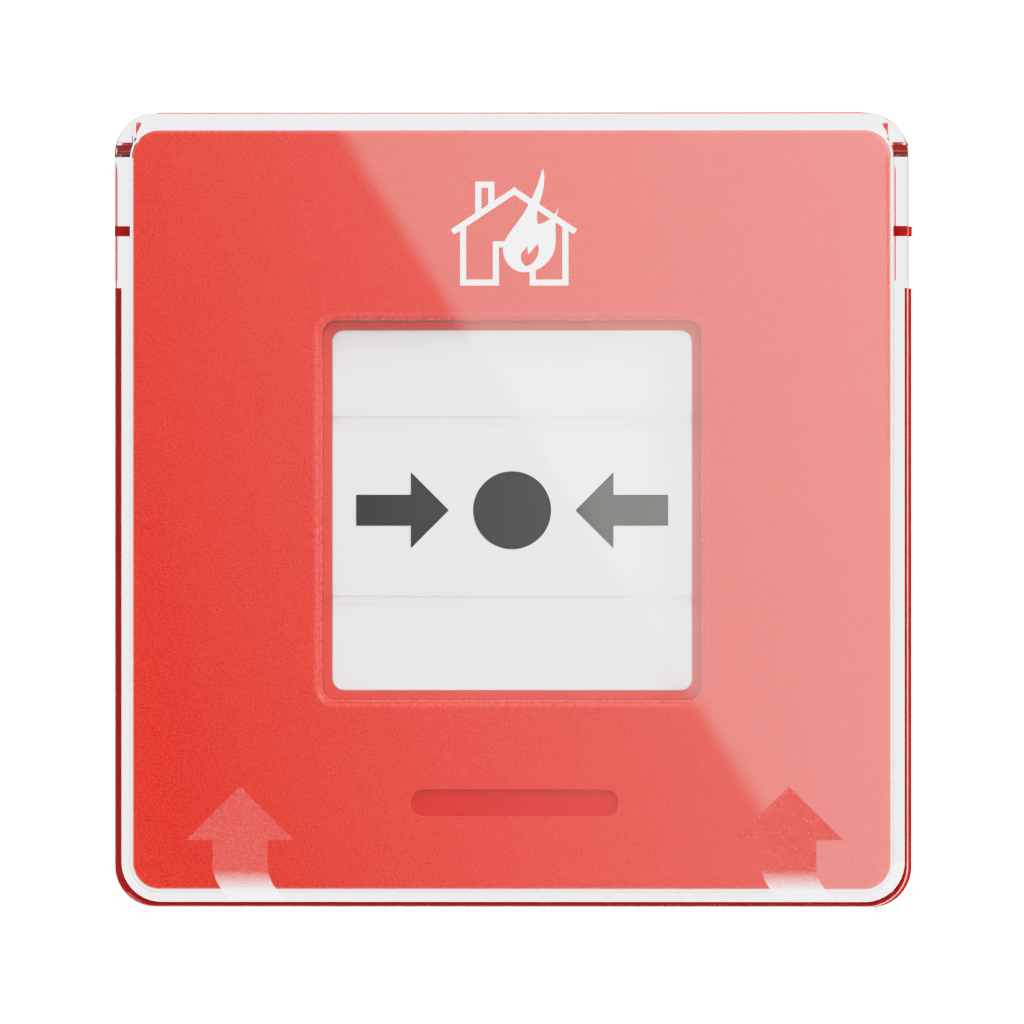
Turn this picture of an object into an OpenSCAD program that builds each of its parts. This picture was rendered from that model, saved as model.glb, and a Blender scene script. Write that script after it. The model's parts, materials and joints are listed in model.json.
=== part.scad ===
// Wall-mounted manual call point: a red box with a hinged clear lid, a folding press panel that
// works a switch through a plunger, and a bracket that the box hangs on.
// +X is right and +Z is up as seen from the front. The wall is the plane Y = 0 and the front
// faces -Y. A depth d is measured from the wall, so its Y is -d.

/* [Front] */
// Width and height of the flange, the widest outline of the box
flange_w = 88.8; // [87.6:0.2:90]
// Corner radius of the flange
flange_r = 4.5; // [4.2:0.1:5.4]
// Depth from the wall to the front of the closed lid
depth = 56; // [56:0.5:60]
// Width and height of the press panel
panel_w = 42; // [42:0.2:42.4]
// Height of the middle strip of the press panel, between its two folds
strip_h = 20; // [19:0.5:21]

/* [Walls] */
// Thickness of the lid's front
lid_t = 1.8; // [1.6:0.1:2]
// Thickness of the red face
face_t = 2.5; // [2.3:0.1:2.8]
// Thickness of the housing walls
wall_t = 2; // [1.8:0.1:2.2]

/* [Mounting] */
// Diameter of the circle that the bracket's screw holes lie on
hole_circle = 60.3; // [58:0.1:62]
// Radius of the bracket's screw holes
hole_r = 2.2; // [2:0.1:2.4]

/* [Hidden] */
$fn = 64;
eps = 0.02;

// Outlines, as half widths from the middle of the front
flange_h = flange_w / 2;
lid_h = flange_h - 0.2;
lid_r = flange_r + 0.1;
lid_wall = 1.65;
cavity_h = lid_h - lid_wall;
cavity_r = 3.3;
bezel_h = cavity_h - 0.3;
bezel_r = cavity_r - 0.3;
bezel_in = bezel_h - wall_t;
skirt_h = cavity_h - 0.35;
skirt_r = 4;
skirt_in = skirt_h - wall_t;

// Depths from the wall
plate_t = 2.2;
skirt_d = 0.6;
back_d = 6.5;
back_in = back_d + wall_t;
board_d = 27.5;
board_t = 1.6;
board_front = board_d + board_t;
lid_in = depth - lid_t;
face_d = lid_in - 0.5;
face_in = face_d - face_t;
mark_depth = 0.35;
flange_d0 = face_d - 12.7;
flange_d1 = flange_d0 + 4;
gasket_t = 0.8;
rim_d = flange_d1 + 0.5;

// Lid hinge
hinge_d = face_d - 5.7;
hinge_z = flange_h - 4.2;
pin_r = 0.8;
ridge_r = 5.2;
ridge_x = skirt_h - 0.3;
ridge_corner = lid_r + 1;
ear_z = 25.6;
ear_d = hinge_d - 4.6;

// Press panel: clear strips over white strips, hinged at its top edge and at two folds
panel_h = panel_w / 2;
panel_r = 1.6;
panel_d1 = face_d - 1;
panel_d0 = panel_d1 - 1.5;
white_h = 20;
white_r = 1.4;
white_d1 = panel_d0 - 0.1;
white_d0 = white_d1 - 0.9;
fold_z = strip_h / 2;
fold_d = panel_d0 - 0.5;
fold_gap = 0.15;
groove = 0.4;
trunnion_r = 0.45;
print_t = 0.06;

// Tray behind the press panel
tray_in = panel_h + 0.5;
tray_out = tray_in + 2;
tray_flange = 28;
tray_d0 = face_in - 5.7;
tray_screw = 25.6;
tray_screw_r = 1;

// Plunger and switch
head_d = white_d0 - 0.05;
head_t = 1.2;
head_r = 6;
stem_r = 2.4;
nose_r = 1.5;
nose_d = head_d - 9.136;
cup_d = tray_d0 - 4.9;
cup_t = 1.4;
lever_x = -8;
lever_d = nose_d - 4.614;
lever_tilt = 20;
lever_l = 11;
lever_t = 0.3;
button_x = lever_x + 2.8;
button_r = 0.8;
button_d = lever_d - 0.205;
switch_d = lever_d - 0.5;

// Reset latch
latch_d = hinge_d - 12;
latch_z = -16;
latch_pin_r = 1;
key_x = 5.2;
key_d0 = board_front + 1.3;
key_d1 = key_d0 + 5.2;

// Housing screws: a well behind, a boss in the housing and a boss in the bezel
corner_xz = 36;
screw_r = 1.5;
screw_head_r = 2.9;
screw_well_r = 3.3;
screw_well_d = 14;
boss_r = 4.6;
boss_d = 24;
bezel_boss_r = 3.4;

// Board fasteners
standoff_x = 34;
standoff_z = 27;
standoff_r = 3;
board_screw_r = 1.25;
board_screw_d = 22;

// Tamper rod
tamper_x = 30;
tamper_z = 10;
tamper_r = 1.5;
tamper_boss_r = 3.2;
collar_r = 5.4;
collar_d = 15;

// Hooks that hold the box on the bracket
hook_x = 27;
hook_w = 6;
hook_zs = [22, -28];
lift = 6;

// Batteries
cell_r = 8.4;
cell_l = 34.2;
cell_z = 9.7;
cell_d = back_in + 9.5;

red = [0.86, 0.13, 0.1];
clear = [0.9, 0.95, 1, 0.35];
white = [0.92, 0.92, 0.92];
dark = [0.2, 0.2, 0.22];
steel = [0.75, 0.76, 0.78];

// ---- Shared shapes ----

// A flat outline in X and Z, made solid between two depths
module slab(d0, d1) {
    translate([0, -d0, 0])
        rotate([90, 0, 0])
            linear_extrude(d1 - d0)
                children();
}

// A side outline in Y and Z, made solid between two X values
module side(x0, x1) {
    translate([x0, 0, 0])
        rotate([90, 0, 90])
            linear_extrude(x1 - x0)
                children();
}

// A round bar square to the wall
module rod(x, z, r, d0, d1) {
    translate([x, -d0, z])
        rotate([90, 0, 0])
            cylinder(r = r, h = d1 - d0);
}

// A round bar along X
module axle(r, x0, x1, d, z) {
    translate([x0, -d, z])
        rotate([0, 90, 0])
            cylinder(r = r, h = x1 - x0);
}

module block(x0, x1, d0, d1, z0, z1) {
    translate([x0, -d1, z0])
        cube([x1 - x0, d1 - d0, z1 - z0]);
}

// A rectangle with round corners, given by its half sizes
module rounded(hx, hz, r) {
    square([2 * (hx - r), 2 * hz], center = true);
    square([2 * hx, 2 * (hz - r)], center = true);
    for (x = [-1, 1], z = [-1, 1])
        translate([x * (hx - r), z * (hz - r)])
            circle(r);
}

module ring(outer, outer_r, inner, inner_r) {
    difference() {
        rounded(outer, outer, outer_r);
        rounded(inner, inner, inner_r);
    }
}

module both_sides() {
    children();
    mirror([1, 0, 0])
        children();
}

module four_corners(x, z) {
    for (sx = [-1, 1], sz = [-1, 1])
        translate([sx * x, 0, sz * z])
            children();
}

// Points of a cubic curve from a to b, without b, so that curves can be chained
function curve(a, p, q, b, n = 8) = [
    for (i = [0 : n - 1])
        let (t = i / n, s = 1 - t)
            s * s * s * a + 3 * s * s * t * p + 3 * s * t * t * q + t * t * t * b
];

// A round wire wound about an axis along Y, from depth d0 to depth d1
module helix(x, z, r, wire_r, turns, d0, d1, steps = 14, sides = 6) {
    n = round(turns * steps);
    points = [
        for (i = [0 : n], k = [0 : sides - 1])
            let (a = 360 * turns * i / n, b = 360 * k / sides, q = r + wire_r * cos(b))
                [x + q * cos(a), -(d0 + (d1 - d0) * i / n) + wire_r * sin(b), z + q * sin(a)]
    ];
    walls = [
        for (i = [0 : n - 1], k = [0 : sides - 1])
            let (a = i * sides + k, b = i * sides + (k + 1) % sides)
                [a, b, b + sides, a + sides]
    ];
    start = [for (k = [sides - 1 : -1 : 0]) k];
    end = [for (k = [0 : sides - 1]) n * sides + k];
    polyhedron(points, concat([start], walls, [end]));
}

// The half-round ridge that the lid's top edge turns around, between two depths
module hinge_ridge(d0, d1) {
    intersection() {
        axle(ridge_r, -ridge_x, ridge_x, hinge_d, hinge_z);
        slab(d0, d1)
            rounded(flange_h, flange_h, ridge_corner);
        block(-ridge_x, ridge_x, d0, d1, skirt_h - 1, flange_h);
    }
}

// ---- Bracket and housing ----

module wall_bracket() {
    top = skirt_in - 0.6;
    bottom = -(skirt_in - lift - 0.4);
    color([0.93, 0.93, 0.92])
        difference() {
            union() {
                slab(0, plate_t)
                    translate([0, (top + bottom) / 2])
                        rounded(skirt_in - 0.8, (top - bottom) / 2, 4);
                both_sides()
                    for (z = hook_zs)
                        bracket_hook(z);
            }
            for (a = [0 : 90 : 270])
                rotate([0, a, 0])
                    rod(hole_circle / 2, 0, hole_r, -1, plate_t + 1);
        }
}

// A stem through the slot in the housing's back, with a lip that rises inside it
module bracket_hook(z) {
    x0 = hook_x - hook_w / 2;
    x1 = hook_x + hook_w / 2;
    block(x0, x1, plate_t - 0.5, back_in + 0.5, z - 1, z + 1);
    block(x0, x1, back_in + 0.3, back_in + 1.9, z - 1, z + 5.5);
}

module rear_housing() {
    color(red)
        difference() {
            union() {
                slab(skirt_d, flange_d1)
                    ring(skirt_h, skirt_r, skirt_in, skirt_r - wall_t);
                slab(back_d, back_in)
                    rounded(skirt_h - 1, skirt_h - 1, skirt_r - 1);
                housing_flange();
                hinge_ridge(ear_d - 1, flange_d1);
                both_sides()
                    housing_ear_rib();
                four_corners(corner_xz, corner_xz)
                    rod(0, 0, boss_r, back_in - 1, boss_d);
                four_corners(standoff_x, standoff_z)
                    rod(0, 0, standoff_r, back_in - 1, board_d);
                rod(tamper_x, tamper_z, tamper_boss_r, back_in - 1, collar_d - 0.1);
            }
            both_sides()
                hook_slots();
            four_corners(corner_xz, corner_xz) {
                rod(0, 0, screw_well_r, back_d - 1, screw_well_d);
                rod(0, 0, screw_r + 0.2, screw_well_d - 1, boss_d + 1);
            }
            four_corners(standoff_x, standoff_z)
                rod(0, 0, board_screw_r + eps, board_screw_d - 0.5, board_d + 1);
            rod(tamper_x, tamper_z, tamper_r + 0.06, back_d - 1, collar_d + 1);
            block(-key_x, key_x, key_d0, key_d1, -flange_h, -skirt_in + 1);
        }
}

// The flange runs along the bottom and up both sides as far as the lid's ears
module housing_flange() {
    top = ear_z - 0.8;
    slab(flange_d0, flange_d1)
        difference() {
            intersection() {
                rounded(flange_h, flange_h, flange_r);
                translate([-50, top - 100])
                    square([100, 100]);
            }
            rounded(skirt_h - 1, skirt_h - 1, skirt_r - 1);
        }
}

// A rib on the side wall, behind the lid's ear
module housing_ear_rib() {
    rib_z = hinge_z - 9;
    rib_t = 1.1;
    block(skirt_h - 0.5, flange_h, ear_d - 7.4, ear_d - 1.4, rib_z - rib_t / 2, rib_z + rib_t / 2);
}

// The slots in the back that the bracket's hooks pass through, long enough for the lift
module hook_slots() {
    for (z = hook_zs)
        block(hook_x - hook_w / 2 - 0.4, hook_x + hook_w / 2 + 0.4, back_d - 1, back_in + 1,
              z - lift - 2.2, z + 1.1);
}

module housing_gasket() {
    color(dark)
        slab(flange_d1 + eps, flange_d1 + gasket_t - eps)
            ring(skirt_h - 0.3, 2.7, bezel_in + 0.3, 1.5);
}

module front_bezel() {
    rear = flange_d1 + gasket_t;
    pin_boss = 3.4;
    color(red)
        difference() {
            union() {
                difference() {
                    slab(rear, face_d)
                        rounded(bezel_h, bezel_h, bezel_r);
                    slab(rear - 1, face_in)
                        rounded(bezel_in, bezel_in, 1.5);
                }
                hinge_ridge(rear, hinge_d + ridge_r);
                both_sides()
                    block(bezel_in - pin_boss, bezel_in + 0.5, rear, face_in + 0.5,
                          hinge_z - 4, hinge_z + 1);
                four_corners(corner_xz, corner_xz)
                    rod(0, 0, bezel_boss_r, boss_d + 0.2, face_in + 0.5);
            }
            slab(face_in - 1, face_d + 1)
                rounded(panel_h + 0.4, panel_h + 0.4, panel_r);
            both_sides()
                axle(pin_r + 0.02, bezel_in - 2, bezel_h + 1, hinge_d, hinge_z);
            four_corners(corner_xz, corner_xz)
                rod(0, 0, screw_r + eps, boss_d, boss_d + 13);
            four_corners(tray_screw, tray_screw)
                rod(0, 0, tray_screw_r + eps, face_in - 1, face_d - 1);
            slab(face_d - mark_depth, face_d + 1)
                front_mark();
        }
}

// A plain sunk bar with round ends, over the status light
module front_mark() {
    translate([0.3, -32.6])
        rounded(11.6, 1.5, 1.5 - eps);
}

module housing_screws() {
    head = 2.2;
    color(steel)
        four_corners(corner_xz, corner_xz) {
            difference() {
                rod(0, 0, screw_head_r, screw_well_d - head, screw_well_d);
                rod(0, 0, 1.2, screw_well_d - head - 1, screw_well_d - head / 2, $fn = 6);
            }
            rod(0, 0, screw_r, screw_well_d - 0.1, boss_d + 12);
        }
}

// ---- Pictogram on the face: a house with a flame in front of it ----

module front_symbol() {
    color(white)
        slab(face_d, face_d + 0.08)
            translate([0.1, 31]) {
                house_lines();
                difference() {
                    flame_outline();
                    flame_heart();
                }
            }
}

// A straight line of the given width between two points
module stroke(a, b, w = 0.64) {
    v = b - a;
    translate(a)
        rotate(atan2(v.y, v.x))
            translate([0, -w / 2])
                square([norm(v), w]);
}

// The lines behind the flame: the roof, the walls, the floor, the door and the chimney
module house_lines() {
    apex = [0.2, 4.55];
    left_eave = [-6.65, 0];
    right_eave = [7, 0];
    floor_z = -5.65;
    over = 0.32;
    stroke(left_eave, apex + [0.25, 0.15]);
    stroke(apex - [0.25, -0.15], right_eave);
    stroke([-5.5, floor_z - over], [-5.5, 0.8]);
    stroke([5.9, floor_z - over], [5.9, 0.8]);
    stroke([-5.5, floor_z], [-1.85, floor_z]);
    stroke([2.25, floor_z], [5.9, floor_z]);
    stroke([-1.85, floor_z - over], [-1.85, -1.1]);
    stroke([2.25, floor_z - over], [2.25, -4]);
    stroke([-1.85 - over, -1.4], [0, -1.4]);
    stroke([-3.8, 1.9], [-3.8, 5.5]);
    stroke([-2.35, 2.9], [-2.35, 5.5]);
    stroke([-3.8 - over, 5.25], [-2.35 + over, 5.25]);
}

module flame_outline() {
    tip = [3.4, 7.05];
    notch = [2.85, 0.8];
    small_tip = [5.2, 2.8];
    right = [4.8, -1];
    bottom = [1.35, -4.5];
    left = [-1.05, -1.9];
    polygon(concat(
        curve(tip, [4.1, 4.6], [2.1, 2.3], notch),
        curve(notch, [3.7, 1], [4.7, 1.5], small_tip),
        curve(small_tip, [4.6, 1.1], [4.8, 0.3], right),
        curve(right, [4.8, -3.3], [2.9, -4.5], bottom),
        curve(bottom, [0, -4.5], [-1.05, -3.3], left),
        curve(left, [-1.05, 0], [1.9, 1.2], tip)
    ));
}

module flame_heart() {
    left_tip = [1.75, -1.5];
    left = [0.9, -2.65];
    bottom = [1.5, -3.85];
    right = [2.95, -2];
    right_tip = [2.8, -1.3];
    notch = [1.8, -2.5];
    polygon(concat(
        curve(left_tip, [1.5, -1.9], [0.9, -2.2], left),
        curve(left, [0.9, -3.2], [1.1, -3.6], bottom),
        curve(bottom, [2.3, -3.8], [2.9, -2.9], right),
        curve(right, [3, -1.8], [2.9, -1.5], right_tip),
        curve(right_tip, [2.5, -1.7], [2.2, -2], notch),
        curve(notch, [1.7, -2.2], [1.65, -1.9], left_tip)
    ));
}

// ---- Lid ----

module lid() {
    color(clear)
        difference() {
            union() {
                difference() {
                    slab(rim_d, depth)
                        rounded(lid_h, lid_h, lid_r);
                    slab(rim_d - 1, lid_in)
                        rounded(cavity_h, cavity_h, cavity_r);
                }
                lid_ears();
            }
            lid_top_cut();
            both_sides()
                axle(pin_r + 0.06, cavity_h - 1, lid_h + 1, hinge_d, hinge_z);
        }
}

// The top wall ends in a slope just behind the front, and the top corners are hollowed round the
// ridge
module lid_top_cut() {
    x = cavity_h - 0.25;
    reach = 4;
    axle(ridge_r + 0.3, -x, x, hinge_d, hinge_z);
    side(-x, x)
        polygon([[-lid_in, cavity_h - eps], [-lid_in + reach, cavity_h + reach],
                 [-rim_d + 1, cavity_h + reach], [-rim_d + 1, cavity_h - eps]]);
}

// The side walls reach further back beside the hinge
module lid_ears() {
    x = cavity_h - 0.25;
    slab(ear_d, rim_d + 0.5)
        intersection() {
            ring(lid_h, lid_r, cavity_h, cavity_r);
            for (s = [-1, 1])
                translate([s * (x + 5), ear_z + 15])
                    square([10, 30], center = true);
        }
}

module lid_hinge_pins() {
    color(red)
        both_sides()
            axle(pin_r, bezel_in - 2, lid_h - 0.1, hinge_d, hinge_z);
}

// ---- Press panel ----

// A clear strip: its front edges are bevelled at a fold, so that the folds close as grooves
module clear_strip(z0, z1, bevel0, bevel1) {
    intersection() {
        side(-panel_h, panel_h)
            polygon([[-panel_d0, z0], [-panel_d1, z0 + bevel0],
                     [-panel_d1, z1 - bevel1], [-panel_d0, z1]]);
        slab(panel_d0 - 1, panel_d1 + 1)
            rounded(panel_h, panel_h, panel_r);
    }
}

module white_strip(z0, z1) {
    color(white)
        intersection() {
            block(-white_h, white_h, white_d0, white_d1, z0, z1);
            slab(white_d0 - 1, white_d1 + 1)
                rounded(white_h, white_h, white_r);
        }
}

module panel_top() {
    bevel = groove - fold_gap;
    color(clear) {
        clear_strip(fold_z + fold_gap, panel_h, bevel, 0);
        both_sides()
            panel_trunnion();
    }
}

// The short round end that the panel's top edge turns on
module panel_trunnion() {
    axle(trunnion_r, panel_h - 0.9, panel_h + 1.3, fold_d, panel_h);
    block(panel_h - 0.9, panel_h - 0.1, fold_d, panel_d0 + 0.1, panel_h - trunnion_r, panel_h);
}

module panel_middle() {
    bevel = groove - fold_gap;
    color(clear)
        clear_strip(-fold_z + fold_gap, fold_z - fold_gap, bevel, bevel);
}

module panel_bottom() {
    bevel = groove - fold_gap;
    color(clear)
        clear_strip(-panel_h, -fold_z - fold_gap, 0, bevel);
}

module panel_white_top() {
    white_strip(fold_z + fold_gap, white_h);
}

module panel_white_middle() {
    white_strip(-fold_z + fold_gap, fold_z - fold_gap);
}

module panel_white_bottom() {
    white_strip(-white_h, -fold_z - fold_gap);
}

// The printed dot, with an arrow pointing at it from each side
module panel_print() {
    color(dark)
        slab(white_d1, white_d1 + print_t) {
            circle(4.35);
            for (s = [0, 1])
                mirror([s, 0])
                    polygon([[-17.4, -1.73], [-11.3, -1.73], [-11.3, -4.27], [-7.05, 0],
                             [-11.3, 4.27], [-11.3, 1.73], [-17.4, 1.73]]);
        }
}

// ---- Tray and press mechanism ----

module panel_tray() {
    color(red)
        difference() {
            union() {
                slab(tray_d0 + 1, face_in - 1.5)
                    ring(tray_out, 2, tray_in, 1);
                slab(face_in - 2.1, face_in - 0.1)
                    ring(tray_flange, 2, tray_in, 1);
                slab(tray_d0, tray_d0 + 1.5)
                    rounded(tray_out, tray_out, 2);
                both_sides()
                    block(4.6, 6.4, latch_d - 2.4, tray_d0 + 0.5, latch_z - 2.6, latch_z + 2.6);
            }
            rod(0, 0, head_r + 1, tray_d0 - 1, tray_d0 + 2);
            block(-4.5, 4.5, tray_d0 - 1, tray_d0 + 2, latch_z - 2, -5);
            axle(latch_pin_r + 0.02, -7, 7, latch_d, latch_z);
            both_sides()
                axle(trunnion_r + 0.05, tray_in - 1, panel_h + 1.4, fold_d, panel_h);
            four_corners(tray_screw, tray_screw)
                rod(0, 0, tray_screw_r + 0.15, tray_d0, face_in);
        }
}

module tray_screws() {
    color(steel)
        four_corners(tray_screw, tray_screw) {
            rod(0, 0, 1.9, face_in - 3.3, face_in - 2.1);
            rod(0, 0, tray_screw_r, face_in - 2.2, face_d - 1.1);
        }
}

module plunger() {
    color([0.15, 0.15, 0.16]) {
        rod(0, 0, head_r, head_d - head_t, head_d);
        rod(0, 0, stem_r, nose_d - 0.1, head_d - head_t + 0.1);
        translate([0, -nose_d, 0])
            sphere(nose_r);
        block(-3, 3, head_d - 3.3, head_d - 0.6, -9.5, -5);
    }
}

module plunger_spring() {
    color(steel)
        helix(0, 0, 3.6, 0.3, 4, cup_d + cup_t + 0.35, head_d - head_t - 0.35);
}

module plunger_guide() {
    color(white)
        difference() {
            rod(0, 0, 9, cup_d, tray_d0 - 0.05);
            rod(0, 0, 7.5, cup_d + cup_t, tray_d0 + 1);
            rod(0, 0, stem_r + 0.05, cup_d - 1, cup_d + cup_t + 1);
            block(-4, 4, cup_d + 2.6, tray_d0 + 1, -12, -6.5);
        }
}

module switch_body() {
    color(dark)
        difference() {
            union() {
                block(lever_x - 1.5, lever_x + 11.3, board_front, switch_d, -3, 3);
                for (z = [-3, 2.2])
                    block(lever_x - 1.2, lever_x + 1.2, switch_d - 0.5, lever_d + 0.6, z, z + 0.8);
            }
            rod(button_x, 0, button_r + 0.07, switch_d - 2.2, switch_d + 1);
        }
}

// A sprung steel strip that tilts towards the plunger's nose
module switch_lever() {
    color(steel)
        translate([lever_x, -lever_d, 0]) {
            translate([0, 0, -2])
                cylinder(r = 0.4, h = 4);
            rotate([0, 0, -lever_tilt])
                translate([0, 0, -1.9])
                    cube([lever_l, lever_t, 3.8]);
        }
}

module switch_button() {
    color(white) {
        rod(button_x, 0, button_r, switch_d - 0.7, button_d);
        translate([button_x, -button_d, 0])
            sphere(button_r);
    }
}

// A rocker: a hook below the plunger's catch in front, and a pad over the key slot behind
module reset_latch() {
    color(steel)
        difference() {
            side(-3.8, 3.8)
                translate([-latch_d, latch_z]) {
                    circle(2.2);
                    polygon([[-10.5, 1.5], [1, 1.5], [1, 3.5], [-9.2, 3.5], [-9.2, 6.1],
                             [-10.5, 6.1]]);
                    translate([0, -1.2])
                        square([5.5, 2.9]);
                }
            axle(latch_pin_r + 0.05, -5, 5, latch_d, latch_z);
        }
}

module latch_pin() {
    color(steel)
        axle(latch_pin_r, -7, 7, latch_d, latch_z);
}

// A torsion spring on the end of the latch pin, with a leg that lies along the tray's ear
module latch_spring() {
    color(steel)
        translate([7.3, -latch_d, latch_z])
            rotate([0, 0, 90])
                helix(0, 0, 1.6, 0.25, 3, 0, 2);
}

// ---- Tamper switch ----

module tamper_rod() {
    color(white) {
        rod(tamper_x, tamper_z, tamper_r, plate_t + 0.1, 24.6);
        rod(tamper_x, tamper_z, collar_r, collar_d, collar_d + 1);
    }
}

module tamper_spring() {
    color(steel)
        helix(tamper_x, tamper_z, collar_r - 0.5, 0.25, 5, collar_d + 1.3, board_d - 0.3);
}

module tamper_switch() {
    color(dark) {
        block(tamper_x - 3, tamper_x + 3, board_d - 1.6, board_d, tamper_z - 3, tamper_z + 3);
        rod(tamper_x, tamper_z, 1.5, board_d - 2, board_d - 1.5);
    }
}

// ---- Electronics ----

module main_board() {
    color([0.05, 0.35, 0.2])
        slab(board_d, board_front)
            difference() {
                rounded(38, 31, 2);
                for (x = [-1, 1], z = [-1, 1])
                    translate([x * standoff_x, z * standoff_z])
                        circle(board_screw_r + 0.15);
            }
}

module board_screws() {
    color(steel)
        four_corners(standoff_x, standoff_z) {
            rod(0, 0, 2.5, board_front, board_front + 1.7);
            rod(0, 0, board_screw_r, board_screw_d, board_front + 0.1);
        }
}

module radio_module() {
    color(steel)
        block(-31, -14, board_front, board_front + 3, 6, 24);
}

module controller_chip() {
    color(dark)
        block(-30, -20, board_front, board_front + 1.1, -14, -4);
}

module capacitors() {
    color([0.25, 0.25, 0.5])
        for (z = [-12, -5, 2])
            rod(24, z, 2.5, board_front, board_front + 6);
}

// Two bent metal strips that stand off the board near its top edge
module antennas() {
    color([0.8, 0.65, 0.3])
        for (x = [-10, 14]) {
            block(x, x + 14, board_front + 3.6, board_front + 4, 26, 29);
            block(x, x + 0.4, board_front, board_front + 3.8, 26, 29);
        }
}

module status_led() {
    color([0.9, 0.9, 0.7])
        block(7.4, 10.6, board_front, board_front + 1.4, -30.4, -27.6);
}

module light_guide() {
    color(clear) {
        rod(9, -30, 1.4, board_front + 1.7, face_in - 0.8);
        block(-10.5, 11, face_in - 1.6, face_in - 0.1, -34, -28.9);
    }
}

// ---- Batteries ----

module battery_holder() {
    color(dark)
        difference() {
            block(-22, 22, back_in + 0.1, cell_d + 2, -20, 20);
            for (z = [-cell_z, cell_z])
                axle(cell_r + 0.3, -cell_l / 2 - 0.75, cell_l / 2 + 0.75, cell_d, z);
        }
}

module battery_cells() {
    color([0.3, 0.35, 0.6])
        for (z = [-cell_z, cell_z])
            axle(cell_r, -cell_l / 2, cell_l / 2, cell_d, z);
}

// A plate against each end of each cell, with a leg that reaches the board
module battery_contacts() {
    color(steel)
        both_sides()
            for (z = [-cell_z, cell_z]) {
                x = cell_l / 2 + 0.1;
                block(x, x + 0.4, cell_d - 4.5, cell_d + 4.5, z - 4, z + 4);
                block(x, x + 0.4, cell_d + 4, board_d - 0.1, z - 1, z + 1);
            }
}

wall_bracket();
rear_housing();
housing_gasket();
front_bezel();
housing_screws();
front_symbol();
lid();
lid_hinge_pins();
panel_top();
panel_middle();
panel_bottom();
panel_white_top();
panel_white_middle();
panel_white_bottom();
panel_print();
panel_tray();
tray_screws();
plunger();
plunger_spring();
plunger_guide();
switch_body();
switch_lever();
switch_button();
reset_latch();
latch_pin();
latch_spring();
tamper_rod();
tamper_spring();
tamper_switch();
main_board();
board_screws();
radio_module();
controller_chip();
capacitors();
antennas();
status_led();
light_guide();
battery_holder();
battery_cells();
battery_contacts();
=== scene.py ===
"""The looks of a wall-mounted manual call point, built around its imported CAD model, in metres."""
import bpy
import bmesh
import json
import math
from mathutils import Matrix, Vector


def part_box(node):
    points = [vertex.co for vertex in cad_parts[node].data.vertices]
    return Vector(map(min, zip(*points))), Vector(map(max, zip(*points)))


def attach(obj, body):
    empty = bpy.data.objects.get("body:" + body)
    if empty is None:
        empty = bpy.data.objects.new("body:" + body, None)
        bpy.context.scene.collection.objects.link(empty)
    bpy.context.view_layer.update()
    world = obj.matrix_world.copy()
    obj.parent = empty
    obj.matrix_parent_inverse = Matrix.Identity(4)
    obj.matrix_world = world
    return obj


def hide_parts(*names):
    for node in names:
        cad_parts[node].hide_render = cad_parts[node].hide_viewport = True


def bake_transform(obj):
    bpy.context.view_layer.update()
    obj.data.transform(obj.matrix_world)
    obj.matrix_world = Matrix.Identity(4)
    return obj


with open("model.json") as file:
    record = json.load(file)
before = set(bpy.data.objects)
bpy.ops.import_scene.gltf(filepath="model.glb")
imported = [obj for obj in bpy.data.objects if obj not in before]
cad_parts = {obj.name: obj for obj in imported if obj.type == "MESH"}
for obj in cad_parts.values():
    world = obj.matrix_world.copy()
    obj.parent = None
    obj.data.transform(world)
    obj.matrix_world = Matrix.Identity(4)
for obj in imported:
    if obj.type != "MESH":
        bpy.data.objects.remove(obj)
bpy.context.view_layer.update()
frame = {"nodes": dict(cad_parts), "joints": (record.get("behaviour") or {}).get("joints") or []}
nodes = frame["nodes"]
MM = 0.001

# ---- Places, read from the frame ----
lid_low, lid_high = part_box("lid")
bezel_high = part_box("front_bezel")[1]
gasket_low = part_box("housing_gasket")[0]
panel_low, panel_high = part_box("panel_middle")
white_low, white_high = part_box("panel_white_middle")
symbol_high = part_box("front_symbol")[1]
joint_at = {j["name"]: Vector(j["pos_m"]) for j in frame["joints"] if j.get("pos_m")}
hinge = joint_at["lid_hinge"]
fold_upper = joint_at["panel_fold_upper"]
fold_lower = joint_at["panel_fold_lower"]

LID_HALF = lid_high.x
LID_FRONT = lid_low.y
LID_REAR = lid_high.y
LID_THICK = 1.8 * MM
LID_WALL = 1.65 * MM
LID_CORNER = 4.6 * MM
CAVITY_HALF = LID_HALF - LID_WALL
CAVITY_CORNER = 3.3 * MM
RIM_REAR = gasket_low.y + 0.28 * MM
EAR_BOTTOM = 25.6 * MM
BEZEL_HALF = bezel_high.x
BEZEL_CORNER = 3 * MM
BEZEL_REAR = gasket_low.y - 0.02 * MM
FACE = symbol_high.y
FACE_BACK = FACE + 2.5 * MM
PANEL_HALF = panel_high.x
PANEL_FRONT = panel_low.y
PANEL_BACK = panel_high.y
PANEL_CORNER = 1.6 * MM
WHITE_HALF = white_high.x + 0.14 * MM
WHITE_CORNER = 1.4 * MM
WHITE_FRONT = white_low.y
WHITE_BACK = white_high.y
RIDGE_TOP = bezel_high.z
RIDGE_END = 41.9 * MM
WIDE = 60 * MM  # past every edge of the object, for cutters


# ---- Mesh tools ----
def add_object(name, mesh):
    obj = bpy.data.objects.new(name, mesh)
    bpy.context.scene.collection.objects.link(obj)
    return obj


def from_bmesh(name, bm, smooth=True):
    bmesh.ops.recalc_face_normals(bm, faces=bm.faces[:])
    mesh = bpy.data.meshes.new(name)
    bm.to_mesh(mesh)
    bm.free()
    if smooth:
        mesh.shade_smooth()
    else:
        mesh.shade_flat()
    return add_object(name, mesh)


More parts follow.
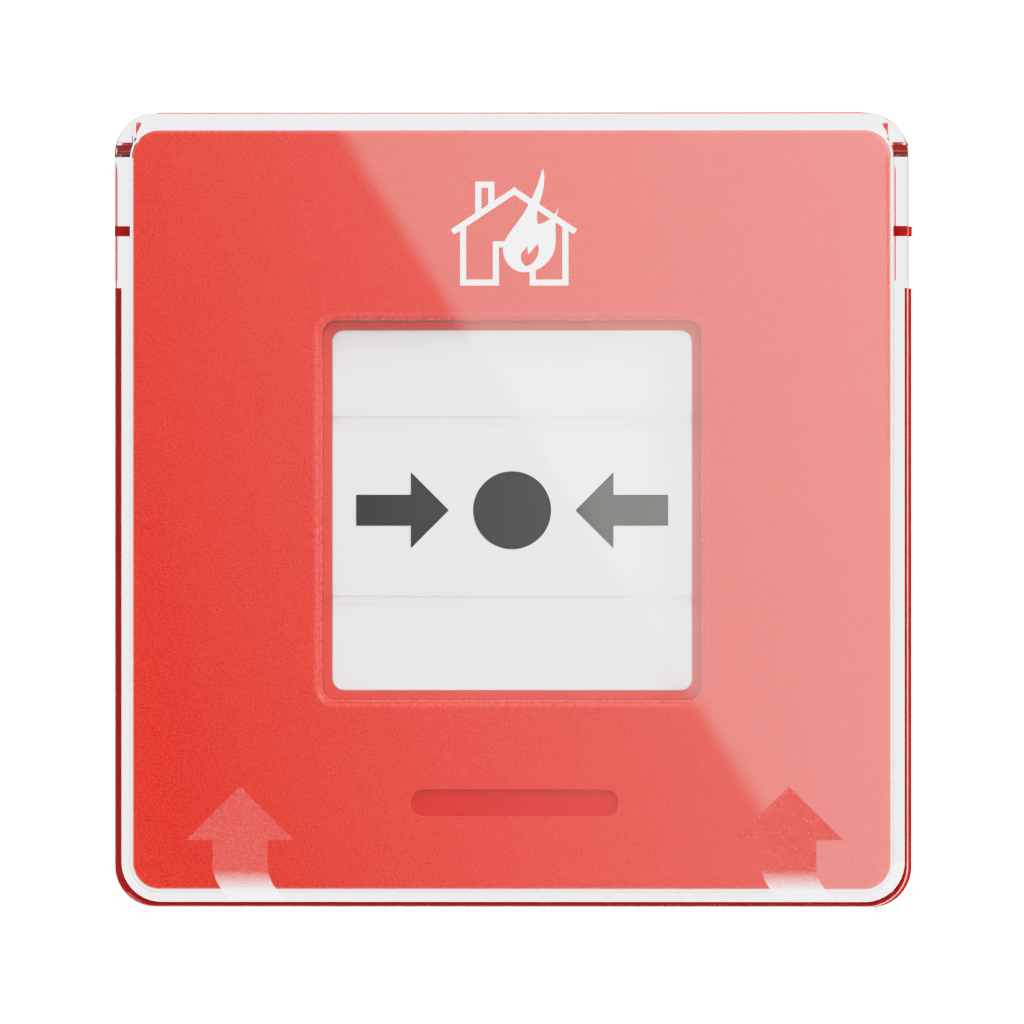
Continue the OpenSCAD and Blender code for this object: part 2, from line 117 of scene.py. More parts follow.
def outline(half_x, half_z, corner, y, centre=(0, 0), steps=12):
    """Points of a rectangle with round corners, in the plane at y."""
    points = []
    for quarter in range(4):
        turn = math.pi / 2 * quarter
        sx = 1 if quarter in (0, 3) else -1
        sz = 1 if quarter in (0, 1) else -1
        for i in range(steps + 1):
            a = turn + math.pi / 2 * i / steps
            points.append(Vector((
                centre[0] + sx * (half_x - corner) + corner * math.cos(a),
                y,
                centre[1] + sz * (half_z - corner) + corner * math.sin(a),
            )))
    return points


def square_ring(half, corner, y):
    return outline(half, half, max(corner, 0.1 * MM), y)


def loft(name, rings, closed=False):
    """A skin over rings of equal length: a closed loop of rings, or a row with both ends capped."""
    bm = bmesh.new()
    rows = [[bm.verts.new(p) for p in ring] for ring in rings]
    count = len(rows[0])
    last = len(rows) if closed else len(rows) - 1
    for k in range(last):
        a, b = rows[k], rows[(k + 1) % len(rows)]
        for i in range(count):
            j = (i + 1) % count
            bm.faces.new((a[i], a[j], b[j], b[i]))
    if not closed:
        bm.faces.new(rows[0])
        bm.faces.new(rows[-1])
    return from_bmesh(name, bm)


def fillet(half, corner, y, radius, sweep, away, steps=6):
    """Rings round an outer edge. sweep lists the two angles, 0 on the wall and 90 on the face, and away is
    the face's direction along y."""
    rings = []
    for i in range(steps + 1):
        a = math.radians(sweep[0] + (sweep[1] - sweep[0]) * i / steps)
        inset = radius * (1 - math.cos(a))
        rings.append(square_ring(half - inset, corner - inset, y - away * radius * (1 - math.sin(a))))
    return rings


def prism_x(name, profile, x0, x1):
    """A side outline in y and z, made solid from x0 to x1."""
    return loft(name, [[Vector((x, y, z)) for y, z in profile] for x in (x0, x1)])


def box_object(name, low, high):
    profile = [(low[1], low[2]), (high[1], low[2]), (high[1], high[2]), (low[1], high[2])]
    return prism_x(name, profile, low[0], high[0])


def arc(centre, radius, start, end, steps):
    """Points in y and z from angle start to angle end, in degrees, measured from +y towards +z."""
    angles = [math.radians(start + (end - start) * i / steps) for i in range(steps + 1)]
    return [(centre[0] + radius * math.cos(a), centre[1] + radius * math.sin(a)) for a in angles]


def applied(obj):
    """Replaces obj's mesh by the one its modifiers make."""
    graph = bpy.context.evaluated_depsgraph_get()
    graph.update()
    mesh = bpy.data.meshes.new_from_object(obj.evaluated_get(graph), depsgraph=graph)
    obj.modifiers.clear()
    obj.data = mesh
    return obj


def combine(obj, other, operation):
    modifier = obj.modifiers.new(operation, "BOOLEAN")
    modifier.operation = operation
    modifier.solver = "EXACT"
    modifier.object = other
    applied(obj)
    bpy.data.objects.remove(other)
    return obj


def keep_between(obj, low, high):
    """Cuts away what lies below low and above high."""
    for z0, z1 in ((high, WIDE), (-WIDE, low)):
        combine(obj, box_object("cutter", (-WIDE, -WIDE, z0), (WIDE, WIDE, z1)), "DIFFERENCE")
    return obj


def round_edges(obj, width, angle=35, segments=2):
    """Rounds the edges sharper than angle, and keeps the flat faces flat in their shading."""
    bevel = obj.modifiers.new("bevel", "BEVEL")
    bevel.width = width
    bevel.segments = segments
    bevel.limit_method = "ANGLE"
    bevel.angle_limit = math.radians(angle)
    bevel.harden_normals = True
    return obj


def even_shading(obj):
    shading = obj.modifiers.new("shading", "WEIGHTED_NORMAL")
    shading.weight = 60
    shading.keep_sharp = True
    return obj


def soften(obj, width):
    """Joins a CAD node's flat triangles into whole faces and rounds its edges, by modifiers alone."""
    planar = obj.modifiers.new("planar", "DECIMATE")
    planar.decimate_type = "DISSOLVE"
    planar.angle_limit = math.radians(1)
    return round_edges(obj, width)


# ---- Materials ----
class Nodes:
    """A short way to write a material's node tree."""

    def __init__(self, name):
        self.material = bpy.data.materials.new(name)
        self.material.use_nodes = True
        self.tree = self.material.node_tree
        self.shader = self.tree.nodes["Principled BSDF"]
        self.output = self.tree.nodes["Material Output"]
        self.where = self.tree.nodes.new("ShaderNodeTexCoord").outputs["Object"]

    def add(self, kind, **values):
        node = self.tree.nodes.new(kind)
        for key, value in values.items():
            setattr(node, key, value)
        return node

    def link(self, a, b):
        self.tree.links.new(a, b)

    def set(self, **values):
        for key, value in values.items():
            self.shader.inputs[key.replace("_", " ")].default_value = value

    def noise(self, size, detail=2.0, rough=0.5):
        """Noise whose patches are about size across."""
        node = self.add("ShaderNodeTexNoise")
        node.inputs["Scale"].default_value = 1 / size
        node.inputs["Detail"].default_value = detail
        node.inputs["Roughness"].default_value = rough
        self.link(self.where, node.inputs["Vector"])
        return node.outputs["Fac"]

    def ramp(self, source, start, end, low, high):
        """low up to start, high from end, and a straight slope between them."""
        node = self.add("ShaderNodeMapRange")
        node.inputs["From Min"].default_value = start
        node.inputs["From Max"].default_value = end
        node.inputs["To Min"].default_value = low
        node.inputs["To Max"].default_value = high
        self.link(source, node.inputs["Value"])
        return node.outputs["Result"]

    def spread(self, noise, low, high):
        return self.ramp(noise, 0.3, 0.7, low, high)

    def math(self, operation, *values):
        node = self.add("ShaderNodeMath", operation=operation)
        for socket, value in zip(node.inputs, values):
            if isinstance(value, (int, float)):
                socket.default_value = value
            else:
                self.link(value, socket)
        return node.outputs[0]

    def colour_between(self, source, a, b):
        node = self.add("ShaderNodeMix", data_type="RGBA")
        for socket, value in zip([s for s in node.inputs if s.type == "RGBA"], (a, b)):
            socket.default_value = (*value, 1)
        self.link(source, node.inputs[0])
        return next(s for s in node.outputs if s.type == "RGBA")

    def bump(self, source, depth, normal=None):
        node = self.add("ShaderNodeBump")
        node.inputs["Strength"].default_value = 1
        node.inputs["Distance"].default_value = depth
        self.link(source, node.inputs["Height"])
        if normal is not None:
            self.link(normal, node.inputs["Normal"])
        return node.outputs["Normal"]


def grained(name, colour, shade, rough, grain, depth, specular=0.5, speckle=0.0):
    """A moulded or printed surface: grain in relief and roughness, slow changes of colour, some speckle."""
    m = Nodes(name)
    slow = m.spread(m.noise(9 * MM, 3), 0, 1 - speckle)
    fine = m.noise(grain, 3, 0.6)
    tone = m.math("ADD", slow, m.spread(fine, 0, speckle))
    m.link(m.colour_between(tone, shade, colour), m.shader.inputs["Base Color"])
    m.link(m.spread(fine, rough - 0.06, rough + 0.06), m.shader.inputs["Roughness"])
    m.link(m.bump(fine, depth), m.shader.inputs["Normal"])
    m.shader.inputs["Specular IOR Level"].default_value = specular
    return m.material


def metal(name, colour, shade, rough, grain=0.3 * MM):
    m = Nodes(name)
    m.link(m.colour_between(m.spread(m.noise(2 * MM), 0, 1), shade, colour), m.shader.inputs["Base Color"])
    m.shader.inputs["Metallic"].default_value = 1
    fine = m.noise(grain, 2)
    m.link(m.spread(fine, rough - 0.05, rough + 0.08), m.shader.inputs["Roughness"])
    m.link(m.bump(fine, 2e-6), m.shader.inputs["Normal"])
    return m.material


def lets_lamps_through(m, tint, rim=None):
    """Lets the lamps reach what is behind clear plastic. A rim steers most of their light aside."""
    path = m.add("ShaderNodeLightPath")
    clear = m.add("ShaderNodeBsdfTransparent")
    clear.inputs["Color"].default_value = (*tint, 1)
    if rim is not None:
        m.link(m.colour_between(rim, tint, (0.03, 0.03, 0.03)), clear.inputs["Color"])
    mix = m.add("ShaderNodeMixShader")
    m.link(path.outputs["Is Shadow Ray"], mix.inputs[0])
    m.link(m.shader.outputs[0], mix.inputs[1])
    m.link(clear.outputs[0], mix.inputs[2])
    m.link(mix.outputs[0], m.output.inputs["Surface"])


def clear_plastic(name, rough, ior=1.58, tint=(0.97, 0.97, 0.97)):
    m = Nodes(name)
    m.set(Base_Color=(*tint, 1), Transmission_Weight=1, IOR=ior)
    smudge = m.noise(6 * MM, 4)
    m.link(m.spread(smudge, rough, rough + 0.01), m.shader.inputs["Roughness"])
    lets_lamps_through(m, tint)
    return m.material


def arrow_mask(m, x, z):
    """1 inside the frosted arrows that point up near the lid's lower corners, and 0 outside."""
    middle, tip, base, foot = 30.55 * MM, -30.75 * MM, -36.7 * MM, -43.3 * MM
    head_half, shaft_half = 6 * MM, 3.05 * MM
    lean_start, lean_rate, shift = -39.5 * MM, 138, 0.35 * MM
    below = m.math("MAXIMUM", m.math("SUBTRACT", lean_start, z), 0)
    lean = m.math("MULTIPLY", m.math("POWER", below, 2), lean_rate)
    from_middle = m.math("ABSOLUTE", m.math("SUBTRACT", m.math("SUBTRACT", x, shift), lean))
    off = m.math("ABSOLUTE", m.math("SUBTRACT", from_middle, middle))
    slope = m.math("MULTIPLY", m.math("SUBTRACT", tip, z), head_half / (tip - base))
    head = m.math("MULTIPLY", m.math("LESS_THAN", off, slope), m.math("GREATER_THAN", z, base))
    length = m.math("MULTIPLY", m.math("LESS_THAN", z, base + 0.1 * MM), m.math("GREATER_THAN", z, foot))
    shaft = m.math("MULTIPLY", m.math("LESS_THAN", off, shaft_half), length)
    return m.math("MAXIMUM", head, shaft)


def lid_plastic():
    m = Nodes("lid_clear")
    tint = (0.97, 0.97, 0.97)
    split = m.add("ShaderNodeSeparateXYZ")
    m.link(m.where, split.inputs[0])
    x, y, z = (split.outputs[axis] for axis in "XYZ")
    in_front = m.math("LESS_THAN", y, LID_FRONT + LID_THICK / 2)
    frosted = m.math("MULTIPLY", arrow_mask(m, x, z), in_front)
    grain = m.spread(m.noise(0.25 * MM, 2), 0.22, 0.28)
    polished = m.spread(m.noise(6 * MM, 4), 0, 0.01)
    rough = m.math("ADD", m.math("MULTIPLY", frosted, grain),
                   m.math("MULTIPLY", m.math("SUBTRACT", 1, frosted), polished))
    # Towards the lid's lower edge the frosting lets less through and turns to a diffuse white: a painted
    # brightening for the light the frosting picks up over the rim.
    painted_whitening = m.ramp(z, -40.1 * MM, -42.7 * MM, 0, 0.6)
    see_through = m.math("SUBTRACT", 1, m.math("MULTIPLY", frosted, painted_whitening))
    m.set(Base_Color=(*tint, 1), IOR=1.58)
    m.link(rough, m.shader.inputs["Roughness"])
    m.link(see_through, m.shader.inputs["Transmission Weight"])
    side = m.math("MAXIMUM", m.math("ABSOLUTE", x), m.math("ABSOLUTE", z))
    rim = m.math("MULTIPLY", m.ramp(side, CAVITY_HALF - 0.3 * MM, CAVITY_HALF, 0, 1),
                 m.ramp(y, LID_FRONT + 2.5 * MM, LID_FRONT + 4 * MM, 0, 1))
    lets_lamps_through(m, tint, rim)
    return m.material


RED = (0.80, 0.044, 0.027)
RED_SHADE = (0.76, 0.038, 0.023)
red_face = grained("red_face", (0.92, 0.057, 0.033), (0.82, 0.018, 0.007), 0.5, 0.25 * MM, 4.2e-4, 0.2, 0.9)
# The housing and the hinge pins get a darker copy of the red: painted shade for the unlit rim round the lid
# and the pins seen through it.
red_painted_shade = grained("red_painted_shade", (0.52, 0.009, 0.007), (0.46, 0.007, 0.005), 0.5, 0.4 * MM, 3e-5, 0.1)
red_edge = grained("red_edge", (0.84, 0.03, 0.018), (0.80, 0.025, 0.015), 0.28, 0.4 * MM, 5e-6, 0.5)
red_mark = grained("red_mark", (0.60, 0.008, 0.006), (0.54, 0.006, 0.004), 0.4, 0.3 * MM, 1e-5, 0.1)
red_side = grained("red_side", RED, RED_SHADE, 0.5, 0.4 * MM, 3e-5)
red_film = grained("red_film", RED, RED_SHADE, 0.5, 0.3 * MM, 5e-6)
bracket_white = grained("bracket_white", (0.82, 0.82, 0.80), (0.78, 0.78, 0.76), 0.5, 0.4 * MM, 1e-5)
print_white = grained("print_white", (0.93, 0.93, 0.93), (0.9, 0.9, 0.9), 0.5, 0.2 * MM, 3e-6)
print_grey = grained("print_grey", (0.016, 0.016, 0.016), (0.012, 0.012, 0.012), 0.6, 0.2 * MM, 3e-6, 0.1)
strip_white = grained("strip_white", (0.80, 0.80, 0.80), (0.78, 0.78, 0.78), 0.5, 0.25 * MM, 5e-6)
part_white = grained("part_white", (0.75, 0.75, 0.74), (0.7, 0.7, 0.69), 0.45, 0.3 * MM, 5e-6)
part_black = grained("part_black", (0.02, 0.02, 0.022), (0.03, 0.03, 0.032), 0.45, 0.3 * MM, 6e-6)
rubber = grained("rubber", (0.03, 0.03, 0.03), (0.04, 0.04, 0.04), 0.75, 0.2 * MM, 8e-6)
board_green = grained("board_green", (0.02, 0.16, 0.07), (0.03, 0.22, 0.1), 0.35, 0.6 * MM, 1e-5)
sleeve_blue = grained("sleeve_blue", (0.10, 0.15, 0.42), (0.08, 0.12, 0.36), 0.25, 1.5 * MM, 1e-5)
led_body = grained("led_body", (0.8, 0.8, 0.66), (0.76, 0.76, 0.6), 0.3, 0.3 * MM, 2e-6)
steel = metal("steel", (0.66, 0.67, 0.68), (0.58, 0.59, 0.6), 0.3)
can_metal = metal("can_metal", (0.72, 0.73, 0.75), (0.66, 0.67, 0.69), 0.25)
brass = metal("brass", (0.78, 0.62, 0.3), (0.7, 0.55, 0.26), 0.28)
lid_clear = lid_plastic()
panel_clear = clear_plastic("panel_clear", 0.02, 1.13)
guide_clear = clear_plastic("guide_clear", 0.05)

NODE_LOOKS = {
    "wall_bracket": bracket_white, "rear_housing": red_painted_shade, "front_bezel": red_face,
    "panel_tray": red_side, "lid_hinge_pins": red_painted_shade, "housing_gasket": rubber,
    "housing_screws": steel, "tray_screws": steel, "board_screws": steel,
    "front_symbol": print_white, "panel_print": print_grey, "lid": lid_clear,
    "panel_top": panel_clear, "panel_middle": panel_clear, "panel_bottom": panel_clear,
    "panel_white_top": strip_white, "panel_white_middle": strip_white, "panel_white_bottom": strip_white,
    "plunger": part_white, "plunger_guide": part_white, "tamper_rod": part_white, "switch_button": part_white,
    "plunger_spring": steel, "tamper_spring": steel, "latch_spring": steel, "switch_lever": steel,
    "reset_latch": steel, "latch_pin": steel, "battery_contacts": steel,
    "switch_body": part_black, "tamper_switch": part_black, "controller_chip": part_black,
    "battery_holder": part_black, "main_board": board_green, "radio_module": can_metal,
    "capacitors": can_metal, "antennas": brass, "status_led": led_body, "light_guide": guide_clear,
    "battery_cells": sleeve_blue,
}
for name, material in NODE_LOOKS.items():
    nodes[name].data.materials.clear()
    nodes[name].data.materials.append(material)


# ---- Pieces ----
def finish_piece(obj, material, slot, body, *replaced):
    obj.data.materials.clear()
    obj.data.materials.append(material)
    if replaced:
        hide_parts(*replaced)
    if body:
        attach(obj, body)
    return obj


def make_lid():
    front_r = 0.15 * MM
    inner_r = 0.5 * MM
    rim_slope = 1.15 * MM
    plate_back = LID_FRONT + LID_THICK
    top_reach = 4 * MM
    barrel_r = 5.5 * MM
    pin_hole_r = 0.86 * MM
    rings = fillet(CAVITY_HALF, CAVITY_CORNER, plate_back, inner_r, (90, 0), -1)
    rings.append(square_ring(CAVITY_HALF, CAVITY_CORNER, LID_REAR))
    rings.append(square_ring(LID_HALF, LID_CORNER, LID_REAR))
    rings += fillet(LID_HALF, LID_CORNER, LID_FRONT, front_r, (0, 90), -1, 10)
    lid = loft("clear_lid", rings)
    side = CAVITY_HALF - 0.25 * MM
    below_ears = loft("cutter", [
        square_ring(CAVITY_HALF, CAVITY_CORNER, RIM_REAR - rim_slope),
        square_ring(CAVITY_HALF + rim_slope, CAVITY_CORNER + rim_slope, RIM_REAR),
        square_ring(WIDE, CAVITY_CORNER, RIM_REAR),
        square_ring(WIDE, CAVITY_CORNER, 0),
    ])
    ears = box_object("cutter", (-WIDE, -WIDE, EAR_BOTTOM), (WIDE, WIDE, WIDE * 2))
    combine(below_ears, ears, "DIFFERENCE")
    top = loft("cutter", [
        outline(side, side + rise / 2, CAVITY_CORNER - 0.25 * MM, y, (0, rise / 2))
        for rise, y in ((0, plate_back), (top_reach, plate_back + top_reach), (top_reach, 0))
    ])
    straight = CAVITY_HALF - CAVITY_CORNER
    combine(top, box_object("cutter", (-WIDE, -WIDE, -WIDE), (WIDE, WIDE, straight)), "DIFFERENCE")
    barrel = prism_x("cutter", arc((hinge.y, hinge.z), barrel_r, 0, 352.5, 47), -side, side)
    pins = prism_x("cutter", arc((hinge.y, hinge.z), pin_hole_r, 0, 345, 23), -WIDE, WIDE)
    for cutter in (below_ears, top, barrel, pins):
        combine(lid, cutter, "DIFFERENCE")
    round_edges(lid, 0.08 * MM)
    even_shading(lid)
    finish_piece(lid, lid_clear, "lid_clear", "lid", "lid")


def make_bezel():
    edge_r = 0.45 * MM
    window_r = 1.2 * MM
    window = PANEL_HALF + 0.12 * MM
    inside = BEZEL_HALF - 2 * MM
    ridge_r = 5.2 * MM
    rings = [square_ring(BEZEL_HALF, BEZEL_CORNER, BEZEL_REAR)]
    rings += fillet(BEZEL_HALF, BEZEL_CORNER, FACE, edge_r, (0, 90), -1)
    for i in range(9):
        a = math.radians(90 * i / 8)
        spread = window_r * (1 - math.sin(a))
        depth = window_r * (1 - math.cos(a))
        rings.append(square_ring(window + spread, PANEL_CORNER + spread, FACE + depth))
    rings.append(square_ring(window, PANEL_CORNER, FACE_BACK))
    rings.append(square_ring(inside, 1.5 * MM, FACE_BACK))
    rings.append(square_ring(inside, 1.5 * MM, BEZEL_REAR))
    bezel = loft("red_bezel", rings, closed=True)
    round_top = arc((hinge.y, hinge.z), ridge_r, 20, 160, 40)
    ridge = [(y, min(z, RIDGE_TOP)) for y, z in round_top if y < BEZEL_REAR]
    low = BEZEL_HALF - 0.8 * MM
    profile = [(BEZEL_REAR, low), (BEZEL_REAR, RIDGE_TOP)] + [p for p in ridge if p[1] > low]
    profile.append((profile[-1][0], low))
    bar = prism_x("ridge", profile, -RIDGE_END, RIDGE_END)
    corners = loft("corners", [square_ring(RIDGE_TOP, LID_CORNER + 1 * MM, y) for y in (LID_FRONT, 0)])
    combine(bar, corners, "INTERSECT")
    combine(bezel, bar, "UNION")
    mark_x, mark_z, mark_half, mark_rise = 0.3 * MM, -32.6 * MM, 11.6 * MM, 1.5 * MM
    mark = loft("mark", [outline(mark_half, mark_rise, mark_rise - 0.02 * MM, y, (mark_x, mark_z))
                         for y in (FACE - 1 * MM, FACE + 0.35 * MM)])
    combine(bezel, mark, "DIFFERENCE")
    round_edges(bezel, 0.12 * MM)
    even_shading(bezel)
    finish_piece(bezel, red_face, "red_plastic", "housing", "front_bezel")
    bezel.data.materials.append(red_mark)
    bezel.data.materials.append(red_edge)
    for face in bezel.data.polygons:
        in_mark = abs(face.center.x - mark_x) < mark_half and abs(face.center.z - mark_z) < mark_rise
        if in_mark and FACE + 0.3 * MM < face.center.y < FACE + 0.4 * MM:
            face.material_index = 1
        elif face.normal.y > -0.99:
            face.material_index = 2


def panel_slice(name, low, high, front, half, corner, back, edge=0.12 * MM):
    """A slice between two heights of a plate with round corners, with its outer front edges eased."""
    rings = [square_ring(half, corner, back), square_ring(half, corner, front + edge),
             square_ring(half - edge, corner - edge, front)]
    return keep_between(loft(name, rings), low, high)


def make_panel():
    """The clear panel as one sheet: three stiff strips, and a thinner web at each fold."""
    web = 0.4 * MM
    thinner = 0.22 * MM
    seam = 0.01 * MM
    strips = (
        ("top", "element_top", fold_upper.z + web, PANEL_HALF),
        ("middle", "element_middle", fold_lower.z + web, fold_upper.z - web),
        ("bottom", "element_bottom", -PANEL_HALF, fold_lower.z - web),
    )
    for part, body, low, high in strips:
        strip = panel_slice("clear_" + part, low, high, PANEL_FRONT, PANEL_HALF, PANEL_CORNER, PANEL_BACK)
        if part == "top":
            for side in (-1, 1):
                reach = sorted((side * (PANEL_HALF - 0.9 * MM), side * (PANEL_HALF + 1.3 * MM)))
                axis = joint_at["panel_press"]
                pin = prism_x("pin", arc((axis.y, axis.z), 0.45 * MM, 0, 345, 23), *reach)
                combine(strip, pin, "UNION")
        round_edges(strip, 0.05 * MM)
        even_shading(strip)
        finish_piece(strip, panel_clear, "panel_clear", body, "panel_" + part)
        white = panel_slice("white_" + part, max(low, -WHITE_HALF), min(high, WHITE_HALF),
                            WHITE_FRONT, WHITE_HALF, WHITE_CORNER, WHITE_BACK)
        round_edges(white, 0.1 * MM)
        even_shading(white)
        finish_piece(white, strip_white, "panel_white", body, "panel_white_" + part)
        reach = 2 * web
        border = panel_border("border_" + part, low - (reach if part == "bottom" else 0),
                              high + (reach if part == "top" else 0))
        finish_piece(border, red_film, "red_plastic", body)
    for name, above, below, fold in (("upper", "element_top", "element_middle", fold_upper),
                                     ("lower", "element_middle", "element_bottom", fold_lower)):
        clear = panel_slice("clear_fold_" + name, fold.z - web + seam, fold.z + web - seam,
                            PANEL_FRONT + thinner, PANEL_HALF, PANEL_CORNER, PANEL_BACK)
        clear.data.shade_flat()
        finish_piece(clear, panel_clear, "panel_clear", None)
        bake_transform(clear)
        border = panel_border("border_fold_" + name, fold.z - web + seam, fold.z + web - seam)
        finish_piece(border, red_film, "red_plastic", None)
        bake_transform(border)
        white = panel_slice("white_fold_" + name, fold.z - web + seam, fold.z + web - seam,
                            WHITE_FRONT + 0.12 * MM, WHITE_HALF, WHITE_CORNER, WHITE_BACK)
        white.data.shade_flat()
        finish_piece(white, strip_white, "panel_white", None)
        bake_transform(white)


def panel_border(name, low, high):
    """A red film behind the clear panel, round the white strips, between two heights."""
    gap = 0.04 * MM
    back, front = WHITE_FRONT, PANEL_BACK - 0.02 * MM
    outer = (PANEL_HALF + 0.08 * MM, PANEL_CORNER)
    inner = (WHITE_HALF - 0.02 * MM, WHITE_CORNER)
    rings = [square_ring(*outer, back - gap), square_ring(*outer, front),
             square_ring(*inner, front), square_ring(*inner, back - gap)]
    film = keep_between(loft(name, rings, closed=True), low, high)
    film.data.shade_flat()
    return film


def make_spring(name, node, turns, wire):
    """A coil over the CAD's."""
    low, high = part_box(node)
    middle = (low + high) / 2
    radius = high.x - middle.x - wire
    steps, sides = 20, 8
    rings = []
    for i in range(turns * steps + 1):
        turn = 2 * math.pi * i / steps
        y = low.y + wire + (high.y - low.y - 2 * wire) * i / (turns * steps)
        ring = []
        for k in range(sides):
            a = 2 * math.pi * k / sides
            r = radius + wire * math.cos(a)
            ring.append(Vector((
                middle.x + r * math.cos(turn),
                y + wire * math.sin(a),
                middle.z + r * math.sin(turn),
            )))
        rings.append(ring)
    spring = loft(name, rings)
    finish_piece(spring, steel, "spring_steel", None, node)
    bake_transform(spring)


make_lid()
make_bezel()
make_panel()
make_spring("plunger_coil", "plunger_spring", 4, 0.3 * MM)
make_spring("tamper_coil", "tamper_spring", 5, 0.25 * MM)
soften(nodes["rear_housing"], 0.35 * MM)
soften(nodes["wall_bracket"], 0.3 * MM)
for name in ("panel_tray", "plunger", "plunger_guide", "switch_body", "reset_latch", "battery_holder",
             "controller_chip", "radio_module", "tamper_switch", "housing_screws", "tray_screws",
             "board_screws", "capacitors", "battery_cells", "tamper_rod", "main_board"):
    soften(nodes[name], 0.15 * MM)


# ---- Stage, light and camera ----
CAMERA_DISTANCE = 2.5
CAMERA_X = 74 * MM
CAMERA_Z = -0.2 * MM
AIM_X = 0.1 * MM
VIEW_WIDTH = 113.9 * MM
CARD_HALF = 2 * CAVITY_HALF


def make_floor():
    m = Nodes("floor_pale")
    m.link(m.colour_between(m.spread(m.noise(0.1), 0, 1), (0.86, 0.86, 0.86), (0.9, 0.9, 0.9)),
           m.shader.inputs["Base Color"])
    m.set(Roughness=0.8)
    bm = bmesh.new()
    s, z = 2.2, lid_low.z - 80 * MM
    bm.faces.new([bm.verts.new(c) for c in ((-s, -s, z), (s, -s, z), (s, s, z), (-s, s, z))])
    floor = from_bmesh("floor", bm, smooth=False)
    floor.data.materials.append(m.material)


def card_glow(x, z):
    """How bright the card is at x and z from its middle: it grows to the right and steps up at a slant."""
    reach, dimming, step = 84 * MM, 0.1, 1.3
    slope = 7 * (x + reach) + 1.8 * (z + reach) - dimming
    slant_edge = 14.8 * MM - 0.62 * z
    blur = 6 * MM
    t = min(max((x - slant_edge) / blur + 0.5, 0), 1)
    return max(slope, 0) + step * t * t * (3 - 2 * t)


def make_reflection_card():
    """A soft card beside the camera, whose mirror image lies over the face. The camera doesn't see it."""
    m = Nodes("card_glow")
    glow = m.add("ShaderNodeAttribute", attribute_name="glow")
    light = m.add("ShaderNodeEmission")
    light.inputs["Color"].default_value = (1, 0.985, 0.945, 1)
    m.link(glow.outputs["Fac"], light.inputs["Strength"])
    m.link(light.outputs[0], m.output.inputs["Surface"])
    bm = bmesh.new()
    bmesh.ops.create_grid(bm, x_segments=160, y_segments=160, size=CARD_HALF)
    for v in bm.verts:
        v.co = Vector((v.co.x - CAMERA_X, LID_FRONT - CAMERA_DISTANCE, v.co.y - CAMERA_Z))
    card = from_bmesh("reflection_card", bm, smooth=False)
    values = card.data.attributes.new("glow", "FLOAT", "POINT")
    for i, v in enumerate(card.data.vertices):
        values.data[i].value = card_glow(v.co.x + CAMERA_X, v.co.z + CAMERA_Z)
    card.data.materials.append(m.material)
    card.visible_camera = False
    card.visible_diffuse = False
    card.visible_shadow = False


def add_lamp(name, place, size, power, mirrored=True):
    """A disk lamp that faces the object. One that isn't mirrored leaves no image of itself in the lid."""
    data = bpy.data.lights.new(name, "AREA")
    data.shape = "DISK"
    data.size = size
    data.energy = power
    lamp = bpy.data.objects.new(name, data)
    bpy.context.scene.collection.objects.link(lamp)
    lamp.location = place
    lamp.rotation_euler = (-Vector(place)).to_track_quat("-Z", "Y").to_euler()
    lamp.visible_transmission = False
    lamp.visible_glossy = mirrored
    return lamp


def add_gleam(name, place, size, power):
    """A lamp that shows only as a gleam on the face's moulded edges."""
    lamp = add_lamp(name, place, size, power)
    lamp.visible_diffuse = False
    lit = bpy.data.collections.new(name + "_lit")
    lit.objects.link(bpy.data.objects["red_bezel"])
    lamp.light_linking.receiver_collection = lit


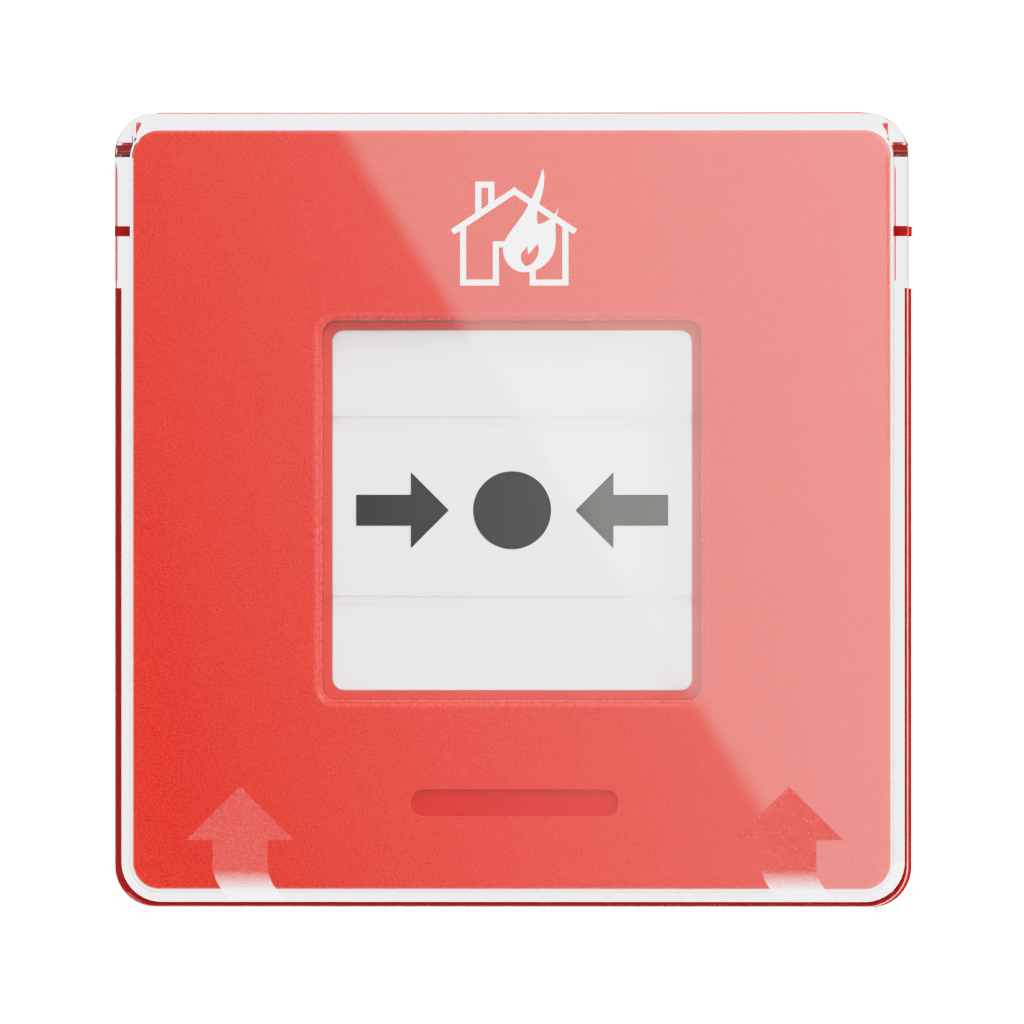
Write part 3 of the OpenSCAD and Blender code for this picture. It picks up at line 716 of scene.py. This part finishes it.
def make_world():
    """White behind the object; a studio that is bright at the sides and darker in front."""
    world = bpy.data.worlds.new("studio")
    bpy.context.scene.world = world
    world.use_nodes = True
    tree = world.node_tree
    back = tree.nodes["Background"]
    where = tree.nodes.new("ShaderNodeTexCoord")
    split = tree.nodes.new("ShaderNodeSeparateXYZ")
    tree.links.new(where.outputs["Generated"], split.inputs[0])
    side = tree.nodes.new("ShaderNodeMapRange")
    side.inputs["From Min"].default_value = -0.95
    side.inputs["From Max"].default_value = -0.45
    side.inputs["To Min"].default_value = 0.02
    side.inputs["To Max"].default_value = 1.2
    tree.links.new(split.outputs["Y"], side.inputs["Value"])
    tree.links.new(side.outputs["Result"], back.inputs["Strength"])
    back.inputs["Color"].default_value = (1, 1, 1, 1)
    seen = tree.nodes.new("ShaderNodeBackground")
    seen.inputs["Color"].default_value = (1, 1, 1, 1)
    seen.inputs["Strength"].default_value = 4
    path = tree.nodes.new("ShaderNodeLightPath")
    mix = tree.nodes.new("ShaderNodeMixShader")
    tree.links.new(path.outputs["Is Camera Ray"], mix.inputs[0])
    tree.links.new(back.outputs[0], mix.inputs[1])
    tree.links.new(seen.outputs[0], mix.inputs[2])
    tree.links.new(mix.outputs[0], tree.nodes["World Output"].inputs["Surface"])


def make_camera():
    data = bpy.data.cameras.new("camera")
    camera = bpy.data.objects.new("camera", data)
    bpy.context.scene.collection.objects.link(camera)
    data.sensor_width = 36
    data.lens = data.sensor_width * CAMERA_DISTANCE / VIEW_WIDTH
    data.clip_end = 20
    camera.location = (CAMERA_X, LID_FRONT - CAMERA_DISTANCE, CAMERA_Z)
    camera.rotation_euler = (math.pi / 2, 0, math.atan((CAMERA_X - AIM_X) / CAMERA_DISTANCE))
    bpy.context.scene.camera = camera


def set_tones():
    """Standard colours, with the highlights eased towards white."""
    view = bpy.context.scene.view_settings
    view.view_transform = "Standard"
    view.use_curve_mapping = True
    curves = view.curve_mapping
    curves.clip_max_x = 3
    curve = curves.curves[3]
    curve.points[0].location = (0, 0)
    curve.points[1].location = (3, 1)
    for x, y in ((0.7, 0.7), (0.84, 0.797), (0.98, 0.82), (1.1, 0.86), (1.3, 0.88)):
        curve.points.new(x, y)
    curves.update()


make_floor()
make_reflection_card()
add_lamp("key", (0.6, -1.1, 0.65), 0.6, 6.2)
add_lamp("front", (-0.1, -2.2, 0.15), 1, 12, mirrored=False)
add_lamp("rake", (1.3, -0.55, 0.9), 0.5, 12)
add_lamp("fill", (-0.9, -1.0, 0.2), 0.8, 1.5)
add_gleam("gleam_right", (2, -0.9, 0), 0.5, 5)
add_gleam("gleam_top", (0, -0.9, 2), 0.5, 4)
make_world()
make_camera()
set_tones()
